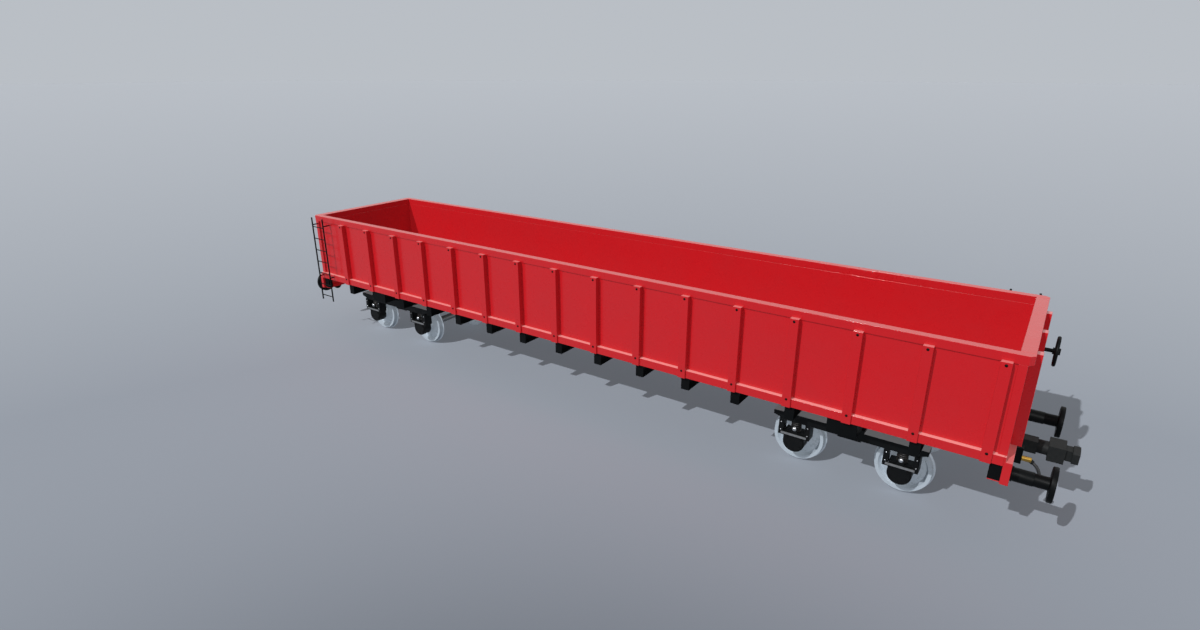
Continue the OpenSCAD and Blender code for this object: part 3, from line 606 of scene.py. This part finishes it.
def boltCovers(look, layout):
    for end, way in (("front", 1), ("rear", -1)):
        places = []
        for step in (-1, 1):
            axleX = way * layout["pivot"] + step * layout["axleOff"]
            for side in (-1, 1):
                for k in range(look["count"]):
                    turn = 2 * math.pi * (k + 0.5) / look["count"]
                    places.append(((axleX + look["ring"] * math.cos(turn), side * look["face"],
                                    layout["axleUp"] + look["ring"] * math.sin(turn)), (0, side, 0)))
        setOut("coverBolts_" + end, hexBolt, places,
               {"Head Radius": look["head"], "Head Height": look["rise"], "Washer Radius": look["washer"],
                "Washer Height": look["washerRise"]}, finishes["bogie_black"], "bogie_" + end)


boltCovers(covers, bogieLayout)

# Black clamp over the cock's spigot, where the hose is pushed on
hoseClamp = {"back": 0.052, "nut": 0.037, "nutDepth": 0.022, "sleeve": 0.034, "sleeveLength": 0.060}


def clampHose(look, hoseLook):
    dip = math.radians(hoseLook["dip"])
    facing = (math.cos(dip), 0, -math.sin(dip))
    startX, startZ = hoseLook["start"]
    place = (startX - look["back"] * facing[0], hoseLook["side"], startZ - look["back"] * facing[2])
    setOut("hoseClamp", hexBolt, [(place, facing)],
           {"Head Radius": look["nut"], "Head Height": look["nutDepth"], "Washer Radius": look["sleeve"],
            "Washer Height": look["sleeveLength"]}, finishes["cast_black"], "wagon")


clampHose(hoseClamp, hose)

# Sleeve round the handbrake wheel's shaft, from the end wall to the hub
sleeve = {"place": (8.206, 0.600, 2.525), "radius": 0.032, "length": 0.270, "collar": 0.042,
          "collarDepth": 0.012}
setOut("shaftSleeve", hexBolt, [(sleeve["place"], (1, 0, 0))],
       {"Head Radius": sleeve["collar"], "Head Height": sleeve["collarDepth"],
        "Washer Radius": sleeve["radius"], "Washer Height": sleeve["length"]},
       finishes["underframe_black"], "wagon")
print("fasteners and coils set out")


# Floor and light

# Painted shade: the floor's colour is painted darkest round this centre beside the wagon and paler outwards, a
# dark pool laid on the floor.
floorLook = {
    "reach": 400.0, "paintedShadeCentre": (7.6, -12.4, 0.0),  # darkest here, beside the wagon, and paler outwards
    "far": (0.454, 0.482, 0.523), "middle": (0.283, 0.312, 0.358), "near": (0.146, 0.164, 0.193),
    "middleAt": 0.060, "nearAt": 0.195,  # one over the distance in metres
}
lightLook = {
    "key": {"travel": (0.32, 1.107, -1.0), "strength": 2.7, "softness": 0.6, "shadow": True},
    "softFill": {"travel": (-0.42, 0.70, -0.58), "strength": 1.9, "softness": 1.0, "shadow": False},
    "fill": 0.18, "sky": (0.490, 0.520, 0.560),
    "low": 0.40, "high": 0.85, "highAt": 0.42,  # brightness mirrored from the horizon and from overhead
}


def makeFloor(look):
    mesh = bpy.data.meshes.new("floor")
    reach = look["reach"]
    mesh.from_pydata([(-reach, -reach, 0), (reach, -reach, 0), (reach, reach, 0), (-reach, reach, 0)], [],
                     [(0, 1, 2, 3)])
    floor = bpy.data.objects.new("floor", mesh)
    finish, tree, shader = newFinish("paleFloor")
    space = objectSpace(tree)
    # painted shade: the floor's tone darkens the closer it is to the centre
    distance = addNode(tree, "ShaderNodeVectorMath", {0: space, 1: look["paintedShadeCentre"]},
                       operation="DISTANCE").outputs["Value"]
    closeness = maths(tree, "DIVIDE", 1.0, distance)
    outer = mixTone(tree, remap(tree, closeness, 0, look["middleAt"], 0, 1), rgba(look["far"]),
                    rgba(look["middle"]))
    inner = mixTone(tree, remap(tree, closeness, look["middleAt"], look["nearAt"], 0, 1, "SMOOTHSTEP"), outer,
                    rgba(look["near"]))
    tree.links.new(inner, shader.inputs["Base Color"])
    shader.inputs["Roughness"].default_value = 1.0
    shader.inputs["Specular IOR Level"].default_value = 0.0
    mesh.materials.append(finish)
    scene.collection.objects.link(floor)


def makeLight(look):
    for name in ("key", "softFill"):
        data = bpy.data.lights.new(name, "SUN")
        data.energy = look[name]["strength"]
        data.angle = math.radians(look[name]["softness"])
        data.use_shadow = look[name]["shadow"]
        lamp = bpy.data.objects.new(name, data)
        lamp.rotation_mode = "QUATERNION"
        lamp.rotation_quaternion = Vector(look[name]["travel"]).to_track_quat("-Z", "Y")
        scene.collection.objects.link(lamp)
    world = bpy.data.worlds.new("studio")
    world.use_nodes = True
    tree = world.node_tree
    fill = tree.nodes["Background"]
    fill.inputs["Color"].default_value = rgba((1.0, 1.0, 1.0))
    fill.inputs["Strength"].default_value = look["fill"]
    path = addNode(tree, "ShaderNodeLightPath")
    seen = addNode(tree, "ShaderNodeBackground", {"Color": rgba(look["sky"]), "Strength": 1.0})
    upward = addNode(tree, "ShaderNodeSeparateXYZ",
                     {0: addNode(tree, "ShaderNodeTexCoord").outputs["Generated"]}).outputs["Z"]
    glow = remap(tree, upward, 0, look["highAt"], look["low"], look["high"])
    mirrored = addNode(tree, "ShaderNodeBackground", {"Color": rgba((1.0, 1.0, 1.0)), "Strength": glow})
    shiny = addNode(tree, "ShaderNodeMixShader",
                    {0: path.outputs["Is Glossy Ray"], 1: fill.outputs[0], 2: mirrored.outputs[0]})
    mixed = addNode(tree, "ShaderNodeMixShader",
                    {0: path.outputs["Is Camera Ray"], 1: shiny.outputs[0], 2: seen.outputs[0]})
    tree.links.new(mixed.outputs[0], tree.nodes["World Output"].inputs["Surface"])
    scene.world = world


makeFloor(floorLook)
makeLight(lightLook)
print("floor and light set")
